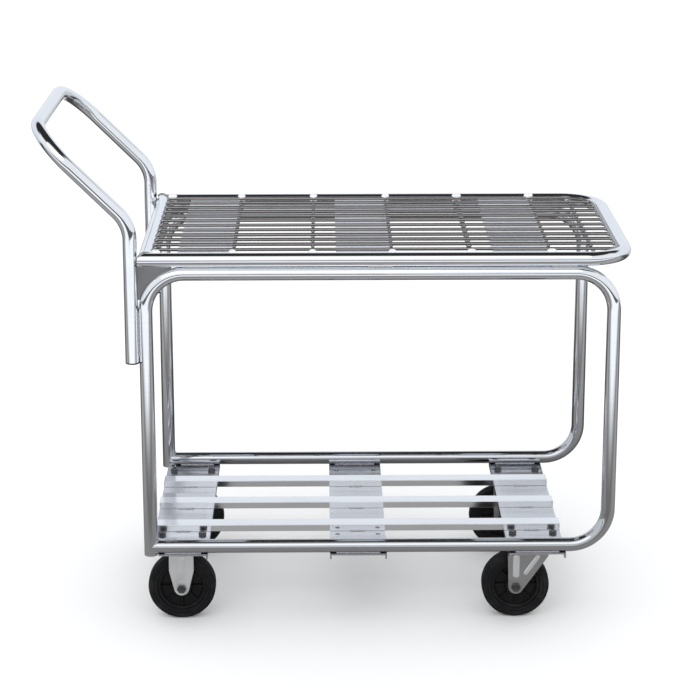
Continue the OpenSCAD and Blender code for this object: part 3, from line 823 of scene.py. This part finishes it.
def skin(bm, rings, closed=False):
    """Joins equally long rings by quads and closes the ends, or joins the last ring to the first."""
    rows = [[bm.verts.new(p) for p in ring] for ring in rings]
    pairs = list(zip(rows, rows[1:])) + ([(rows[-1], rows[0])] if closed else [])
    made = []
    for one, other in pairs:
        for i in range(len(one)):
            j = (i + 1) % len(one)
            made.append(bm.faces.new((one[i], one[j], other[j], other[i])))
    if not closed:
        made += [bm.faces.new(rows[0]), bm.faces.new(rows[-1])]
    bmesh.ops.recalc_face_normals(bm, faces=made)


def circle(radius, z, steps=HEX_STEPS):
    return [Vector((radius * math.cos(a), radius * math.sin(a), z))
            for a in (2 * math.pi * k / steps for k in range(steps))]


def hexagon(flat, z, fall=0.0, start=0.0):
    """A hexagon, twice flat across, that drops by a share of its reach beyond start."""
    points = []
    for k in range(HEX_STEPS):
        a = 2 * math.pi * k / HEX_STEPS
        reach = flat / math.cos((a % (math.pi / 3)) - math.pi / 6)
        drop = fall * max(0.0, reach - start)
        points.append(Vector((reach * math.cos(a), reach * math.sin(a), z - drop)))
    return points


CHAMFER = 0.58
THREAD_STEPS = 24


def hex_bolt(name, d, flat, head, length):
    """A bolt along Z, its head's underside at 0, with a washer face, a chamfer and a thread."""
    bm = bmesh.new()
    face = 0.12 * head
    skin(bm, [circle(0.95 * flat, 0), circle(0.97 * flat, face), hexagon(flat, face),
              hexagon(flat, head, CHAMFER, 0.98 * flat), circle(0.92 * flat, head),
              circle(0.86 * flat, 0.97 * head)])
    pitch = 0.15 * d
    turns = int(0.75 * length / pitch)
    rings = [circle(0.82 * d / 2, -length, THREAD_STEPS)]
    for k in range(turns):
        z = -length + (k + 0.7) * pitch
        rings += [circle(d / 2, z, THREAD_STEPS), circle(0.87 * d / 2, z + pitch / 2, THREAD_STEPS)]
    rings += [circle(d / 2, z, THREAD_STEPS) for z in (-length + (turns + 1) * pitch, face / 2)]
    skin(bm, rings)
    return mesh_from(name, bm, "plated_fastener", 30)


def hex_nut(name, d, flat, height):
    """A nut along Z from -height to 0, its corners taken off at both faces."""
    bm = bmesh.new()
    skin(bm, [circle(d / 2, 0), circle(0.93 * flat, 0), hexagon(flat, 0, CHAMFER, 0.98 * flat),
              hexagon(flat, -height, -CHAMFER, 0.98 * flat), circle(0.93 * flat, -height),
              circle(d / 2, -height)], closed=True)
    return mesh_from(name, bm, "plated_fastener", 30)


# %% Places of the fasteners, read from the CAD node's separate solids


def islands(node):
    """The box of each separate solid of a CAD node, always in the same order."""
    bm = opened(NODES[node].data)
    bmesh.ops.remove_doubles(bm, verts=bm.verts[:], dist=1e-6)
    left = set(bm.verts)
    boxes = []
    while left:
        todo = [left.pop()]
        seen = []
        while todo:
            vertex = todo.pop()
            seen.append(vertex.co.copy())
            for edge in vertex.link_edges:
                other = edge.other_vert(vertex)
                if other in left:
                    left.remove(other)
                    todo.append(other)
        boxes.append([Vector([pick(p[i] for p in seen) for i in range(3)]) for pick in (min, max)])
    bm.free()
    return sorted(boxes, key=lambda box: [round(x, 4) for x in box[0]])


BOLT_D = 0.0079
AXLE_D = 0.0095
HEAD_SHARE = 0.65
AXLE_HEAD_SHARE = 0.6

# %% Caster bolts and nuts
for row in ("rear", "front"):
    for kind in ("bolt", "nut"):
        boxes = islands(f"{row}_caster_{kind}s")
        low, high = boxes[0]
        head = HEAD_SHARE * BOLT_D if kind == "bolt" else 0.0
        flat = (high.y - low.y) / 2
        tall = high.z - low.z - head
        name = f"{row}_{kind}_model"
        model = hex_bolt(name, BOLT_D, flat, head, tall) if head else hex_nut(name, BOLT_D, flat, tall)
        places = [((a.x + b.x) / 2, (a.y + b.y) / 2, b.z - head) for a, b in boxes]
        obj = copies(f"{row}_caster_hex_{kind}s", model, places, "plated_fastener")
        place_piece(obj, "cart_frame", [f"{row}_caster_{kind}s"])
        print(row, "caster", kind + "s:", len(boxes))

# %% Axle bolts and nuts


def axle_fasteners(name, side, bolt_box, nut_box, body, nodes):
    """The axle's bolt and nut, with the head on the cart's outer side."""
    turn = (-side * math.pi / 2, 0, 0)
    head = AXLE_HEAD_SHARE * AXLE_D
    low, high = bolt_box
    outer = high.y - head if side > 0 else low.y + head
    place = [((low.x + high.x) / 2, outer, (low.z + high.z) / 2)]
    model = hex_bolt(name + "_bolt_model", AXLE_D, (high.z - low.z) / 2, head, high.y - low.y - head)
    bolt = copies(name + "_axle_hex_bolt", model, place, "plated_fastener", turn)
    low, high = nut_box
    inner = high.y if side > 0 else low.y
    place = [((low.x + high.x) / 2, inner, (low.z + high.z) / 2)]
    model = hex_nut(name + "_nut_model", AXLE_D, (high.z - low.z) / 2, high.y - low.y)
    nut = copies(name + "_axle_hex_nut", model, place, "plated_fastener", turn)
    if nodes:
        place_piece(bolt, body, nodes[:1])
        place_piece(nut, body, nodes[1:])
    return bolt, nut


rear_parts = {"rear_axle_bolts": [], "rear_axle_nuts": []}
for side, word in ((-1, "right"), (1, "left")):
    boxes = [next(b for b in islands(node) if (b[0].y + b[1].y) * side > 0) for node in rear_parts]
    for kept, obj in zip(rear_parts.values(), axle_fasteners("rear_" + word, side, *boxes, None, None)):
        kept.append(obj)
    nodes = [f"front_{word}_axle_bolt", f"front_{word}_axle_nut"]
    axle_fasteners("front_" + word, side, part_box(nodes[0]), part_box(nodes[1]), f"front_{word}_swivel", nodes)
for node, (first, second) in rear_parts.items():
    both = mesh_from(node + "_hex", opened(first.data, second.data), "plated_fastener", 30)
    place_piece(both, "cart_frame", [node])
print("axle fasteners made")

# %% [markdown]
# ## Wheels
# A cart wheel is two mouldings: a hard core with ribs and a soft tread round it. Both are turned
# shapes, so each is drawn as half an outline and swung round the axle. The tread's outline has round
# shoulders, a low crown, a ring groove in each side and the fine seam where the mould closed.

# %% Turned pieces
TURN_STEPS = 96


def turned(name, outline, centre, finish, upright=False):
    """Swings a closed outline of (radius, along) round a Y or an upright axis through centre."""
    bm = bmesh.new()
    rings = []
    for radius, along in outline:
        ring = []
        for k in range(TURN_STEPS):
            a = 2 * math.pi * k / TURN_STEPS
            flat = (radius * math.cos(a), radius * math.sin(a))
            spot = (flat[0], flat[1], along) if upright else (flat[0], along, flat[1])
            ring.append(centre + Vector(spot))
        rings.append(ring)
    skin(bm, rings, closed=True)
    return mesh_from(name, bm, finish)


def tread_outline(radius, width, inner):
    """Half outline of the tread, mirrored about the wheel's middle."""
    shoulder = 0.005
    half = width / 2
    corner = radius - 0.0004 - shoulder
    groove = inner + 0.006
    rows = [(radius, 0.0), (radius - 0.0003, 0.0004), (radius - 0.0003, half - shoulder)]
    for k in range(1, 7):
        a = math.radians(90 - 15 * k)
        rows.append((corner + shoulder * math.sin(a), half - shoulder + shoulder * math.cos(a)))
    rows += [(groove + 0.0016, half), (groove + 0.0008, half - 0.0009), (groove - 0.0008, half - 0.0009),
             (groove - 0.0016, half), (inner + 0.0008, half), (inner, half - 0.0008)]
    return rows + [(r, -y) for r, y in reversed(rows[1:])]


TREAD_T = 0.0175
for wheel in WHEELS:
    tread = wheel + "_tread"
    measured = size(tread)
    outline = tread_outline(measured.z / 2, measured.y, measured.z / 2 - TREAD_T)
    obj = turned(wheel + "_rubber", outline, middle(tread), "rubber_tread")
    place_piece(obj, body_of(tread), [tread])
print("treads:", len(outline), "outline points each")

# %% Cores with their ribs
RIBS = 8
RIB_REACH = 0.011
RIB_ROOT = 0.001
RIM_INSET = 0.002
HUB_R = 0.018
WEB_HALF = 0.005
RIM_T = 0.006


def core_outline(rim, half_rim, bore, half_hub):
    """Half outline of hub, web and rim with rounded inner corners, mirrored about the middle."""
    soft = 0.0012
    inner = rim - RIM_T
    rows = [(bore, half_hub - soft), (bore + soft, half_hub), (HUB_R - soft, half_hub),
            (HUB_R, half_hub - soft), (HUB_R + 0.0006, WEB_HALF + 0.002), (HUB_R + 0.0026, WEB_HALF),
            (inner - 0.0024, WEB_HALF), (inner - 0.0004, WEB_HALF + 0.002), (inner, half_rim - soft),
            (inner + soft, half_rim), (rim - soft, half_rim), (rim, half_rim - soft)]
    return rows + [(r, -y) for r, y in reversed(rows)]


def add_rib(bm, centre, turn, side, inner, outer, high):
    """A tapered rib on one side of the web, its ends sunk in hub and rim."""
    thick = 0.0016
    rings = []
    for share, wide in ((0.0, 1.5), (0.8, 1.1), (1.0, 0.6)):
        y = side * (WEB_HALF - 0.0005 + share * (high - WEB_HALF))
        sag = 0.0012 * share
        rings.append([Vector((r, y, t * thick * wide)) for r, t in
                      ((inner, -1), (outer - sag, -1), (outer - sag, 1), (inner, 1))])
    spin = Matrix.Rotation(turn, 4, "Y")
    skin(bm, [[centre + spin @ p for p in ring] for ring in rings])


for wheel in WHEELS:
    core = wheel + "_core"
    measured = size(core)
    bore = size(wheel + "_bearing").z / 2
    half_rim = size(wheel + "_tread").y / 2 - RIM_INSET
    outline = core_outline(measured.z / 2, half_rim, bore, measured.y / 2)
    obj = turned(core + "_moulded", outline, middle(core), "moulded_core")
    bm = opened(obj.data)
    for k in range(RIBS):
        for side in (-1, 1):
            add_rib(bm, middle(core), 2 * math.pi * k / RIBS, side, HUB_R - RIB_ROOT,
                    measured.z / 2 - RIM_T + RIB_ROOT, RIB_REACH)
    bm.to_mesh(obj.data)
    bm.free()
    shade(obj.data)
    place_piece(obj, body_of(core), [core])
print("cores with", 2 * RIBS, "ribs each")

# %% [markdown]
# ## Swivel races
# The swivel's lower race is a deep-drawn cup: its bottom turns up in a round corner and its lip is
# rolled in over the balls to keep dust out.

# %% Race cups
CUP_T = 0.002
CUP_BEND = 0.003
RACE_T = 0.0015
KINGPIN_BORE = 0.0059
for side in SIDES:
    node = f"front_{side}_race"
    low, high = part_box(node)
    reach = (high.x - low.x) / 2
    tall = high.z - low.z
    outline = [(KINGPIN_BORE, 0.0)]
    for k in range(7):
        a = math.radians(15 * k)
        outline.append((reach - CUP_BEND + CUP_BEND * math.sin(a), CUP_BEND - CUP_BEND * math.cos(a)))
    outline += [(reach, tall - 0.0012), (reach - 0.0004, tall - 0.0003), (reach - 0.001, tall),
                (reach - CUP_T, tall - 0.0003), (reach - CUP_T, 0.0035), (reach - CUP_T - 0.0006, 0.002),
                (reach - CUP_T - 0.002, RACE_T), (KINGPIN_BORE, RACE_T)]
    foot = Vector(((low.x + high.x) / 2, (low.y + high.y) / 2, low.z))
    obj = turned(node + "_cup", outline, foot, "bearing_steel", upright=True)
    place_piece(obj, body_of(node), [node])
print("race cups:", len(outline), "outline points each")

# %% [markdown]
# ## Pressed ribs on the forks
# A caster fork is stiffened by ribs pressed into its legs. Each is a long low pad with round ends,
# made of outlines that shrink as they rise, and a fork carries one straight up from its axle. A
# swivel fork carries a second one, which slants to the front of its crown.

# %% Fork ribs
RIB_RISE = 0.0012
LEG_GAP = 0.004
LEG_T = 0.0032
UPRIGHT_RIB = ((0.0, 0.024), (0.0, 0.058), 0.013)
SLANTED_RIB = ((0.018, 0.028), (0.040, 0.060), 0.009)


def pad(bm, start, end, wide, face_y, side):
    """A low pad with round ends between two (x, z) points, standing out of an upright face."""
    start, end = Vector(start), Vector(end)
    way = (end - start).normalized()
    across = Vector((-way.y, way.x))
    rings = []
    for shrink, rise in ((1.0, -0.5), (0.94, 0.35), (0.78, 0.85), (0.55, 1.0)):
        radius = wide / 2 * shrink
        ring = []
        for base, first in ((end, -90), (start, 90)):
            for k in range(9):
                a = math.radians(first + 22.5 * k)
                flat = base + (way * math.cos(a) + across * math.sin(a)) * radius
                ring.append(Vector((flat.x, face_y + side * rise * RIB_RISE, flat.y)))
        rings.append(ring)
    skin(bm, rings)


for fork in WHEELS:
    node = fork + "_fork"
    axle = middle(fork + "_tread")
    leg_out = size(fork + "_tread").y / 2 + LEG_GAP + LEG_T
    bm = bmesh.new()
    for side in (-1, 1):
        for start, end, wide in (UPRIGHT_RIB, SLANTED_RIB)[:2 if fork.startswith("front") else 1]:
            pad(bm, *((axle.x + x, axle.z + z) for x, z in (start, end)), wide, axle.y + side * leg_out, side)
    # The ribs keep the paler caster zinc, so on a swivel fork they stand lit against its painted shade.
    obj = mesh_from(fork + "_fork_ribs", bm, "plated_caster", 50)
    place_piece(obj, body_of(node))
print("fork ribs made")

# %% [markdown]
# ## The stage
# A chrome object is a picture of its room. The eye sees a plain pale floor in soft light, while what
# the metal mirrors is set apart from it, as a studio does with cards and cloths. The mirrored floor
# has bands: bright well in front of the cart, dusky beneath it as a painted shadow of the cart, dark just
# behind it and grey beyond.
# The mirrored room is white with a dark ceiling, which comes lower at the back. These bands draw the
# thin dark lines that make a tube read as polished.

# %% Floor
FLOOR_REACH = 40.0
FLOOR_TONE = (0.93, 0.93, 0.93, 1)
# Bands of the mirrored floor along Y; the dusky ones under the cart are a painted shadow, seen only in
# reflections.
BANDS = [(-3.2, -3.6, (0.05, 0.045, 0.045, 1)), (-1.9, -0.9, (0.20, 0.185, 0.175, 1)),
         (-0.85, -0.6, (0.34, 0.33, 0.325, 1)), (-0.1, 0.6, (0.05, 0.045, 0.043, 1)),
         (1.0, 2.0, (0.55, 0.56, 0.57, 1))]
corners = [(x * FLOOR_REACH, y * FLOOR_REACH, 0) for x, y in ((-1, -1), (1, -1), (1, 1), (-1, 1))]
floor_mesh = bpy.data.meshes.new("floor")
floor_mesh.from_pydata(corners, [], [(0, 1, 2, 3)])
floor = bpy.data.objects.new("floor", floor_mesh)
link(floor)
floor_paint, tree, shader = new_material("studio_floor")
glossy = add_node(tree, "ShaderNodeLightPath").outputs["Is Glossy Ray"]
spot = add_node(tree, "ShaderNodeTexCoord").outputs["Object"]
along = add_node(tree, "ShaderNodeSeparateXYZ", {0: spot}).outputs["Y"]
away = add_node(tree, "ShaderNodeVectorMath", {0: spot}, operation="LENGTH").outputs["Value"]
# Near the cart the mirrored floor is greyer: painted shade of the cart, seen only in reflections.
mirrored = mix_colour(tree, smooth_step(tree, away, 0.75, 1.7), (0.56, 0.56, 0.57, 1), (0.94, 0.96, 0.99, 1))
for start, end, tone in BANDS:
    mirrored = mix_colour(tree, smooth_step(tree, along, start, end), mirrored, tone)
tree.links.new(mix_colour(tree, glossy, FLOOR_TONE, mirrored), shader.inputs["Base Color"])
shader.inputs["Roughness"].default_value = 0.9
floor_mesh.materials.append(floor_paint)
print("floor bands:", len(BANDS))

# %% Studio light
ROOM_TONE = (1.10, 1.11, 1.12, 1)
MIRRORED_FRONT = (0.98, 1.0, 1.03, 1)
MIRRORED_WALL = (0.88, 0.92, 0.98, 1)
MIRRORED_DARK = (0.03, 0.026, 0.024, 1)
MIRRORED_CEILING = (0.03, 0.028, 0.027, 1)
world = bpy.data.worlds.new("studio")
bpy.context.scene.world = world
world.use_nodes = True
tree = world.node_tree
glossy = add_node(tree, "ShaderNodeLightPath").outputs["Is Glossy Ray"]
way = add_node(tree, "ShaderNodeSeparateXYZ", {0: add_node(tree, "ShaderNodeTexCoord").outputs["Generated"]})
overhead = smooth_step(tree, way.outputs["Z"], 0.74, 0.84)
back = smooth_step(tree, way.outputs["Y"], -0.05, 0.25)
wall = math_node(tree, "SUBTRACT", 1.0, smooth_step(tree, way.outputs["Z"], 0.58, 0.70))
room = mix_colour(tree, back, MIRRORED_FRONT, mix_colour(tree, wall, MIRRORED_DARK, MIRRORED_WALL))
room = mix_colour(tree, overhead, room, MIRRORED_CEILING)
tree.links.new(mix_colour(tree, glossy, ROOM_TONE, room), tree.nodes["Background"].inputs["Color"])

key_data = bpy.data.lights.new("key", "SUN")
key_data.energy = 0.5
key_data.angle = math.radians(50)
key = bpy.data.objects.new("key", key_data)
key.rotation_euler = (math.radians(42), math.radians(-14), 0)
link(key)
print("light set, sun energy:", key_data.energy)

# %% [markdown]
# ## The camera
# A long lens from well back keeps the cart's lines nearly parallel. The camera looks down a little,
# so both decks open up, and the lens shift is small, because it also holds in every other view.

# %% Camera
CAMERA_PLACE = Vector((-0.0185, -3.9636, 1.6594))
CAMERA_DOWN = 14.47
CAMERA_TURN = -0.73
camera_data = bpy.data.cameras.new("camera")
camera_data.lens = 110.7
camera_data.sensor_width = 36
camera_data.shift_y = -0.12
camera = bpy.data.objects.new("camera", camera_data)
camera.location = CAMERA_PLACE
camera.rotation_euler = (math.radians(90 - CAMERA_DOWN), 0, math.radians(CAMERA_TURN))
link(camera)
bpy.context.scene.camera = camera
bpy.context.scene.view_settings.view_transform = "Standard"
print("camera lens:", camera_data.lens, "mm")
